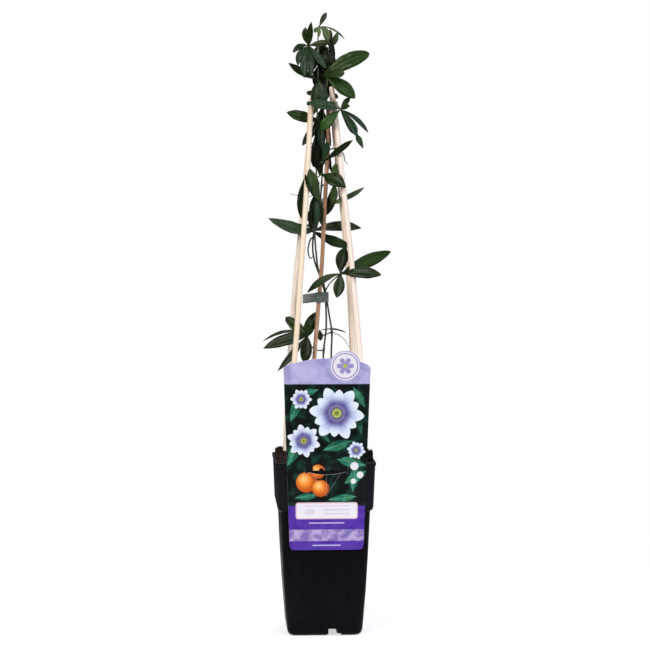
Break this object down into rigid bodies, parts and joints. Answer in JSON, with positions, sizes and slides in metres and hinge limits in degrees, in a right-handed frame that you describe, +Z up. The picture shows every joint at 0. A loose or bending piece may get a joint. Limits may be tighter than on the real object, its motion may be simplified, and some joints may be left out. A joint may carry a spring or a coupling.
{
  "type": "potted passion-flower vine",
  "caption": "Young passion-flower vine trained up bowed stakes and a cane in a tall square nursery pot, with a label card on the rim and a tape tie.",
  "frame": {"origin": "on the ground, under the middle of the whole plant's box", "axes": "+Z up; the front of the pot with its card faces -Y; +X is to the right as seen from the front"},
  "size_m": [0.1464, 0.1306, 0.7074],
  "materials": {
    "pot_plastic": "satin black moulded plastic",
    "potting_soil": "damp crumbly soil with bark bits",
    "stake_wood": "pale smooth split wood",
    "cane_wood": "brown cane with rings",
    "band_rubber": "dark green band",
    "tie_tape": "grey-green tape",
    "card_plastic": "printed glossy plastic card",
    "leaf": "dark glossy leaves on thin green stems"
  },
  "bodies": {
    "root": {"pot": "pot_plastic", "soil": "potting_soil", "stake_front_left": "stake_wood", "stake_back_left": "stake_wood", "stake_front_right": "stake_wood", "stake_back_right": "stake_wood", "cane": "cane_wood", "stake_band": "band_rubber", "tie": "tie_tape", "label_card": "card_plastic", "vine_left": "leaf", "vine_right": "leaf"}
  },
  "joints": []
}
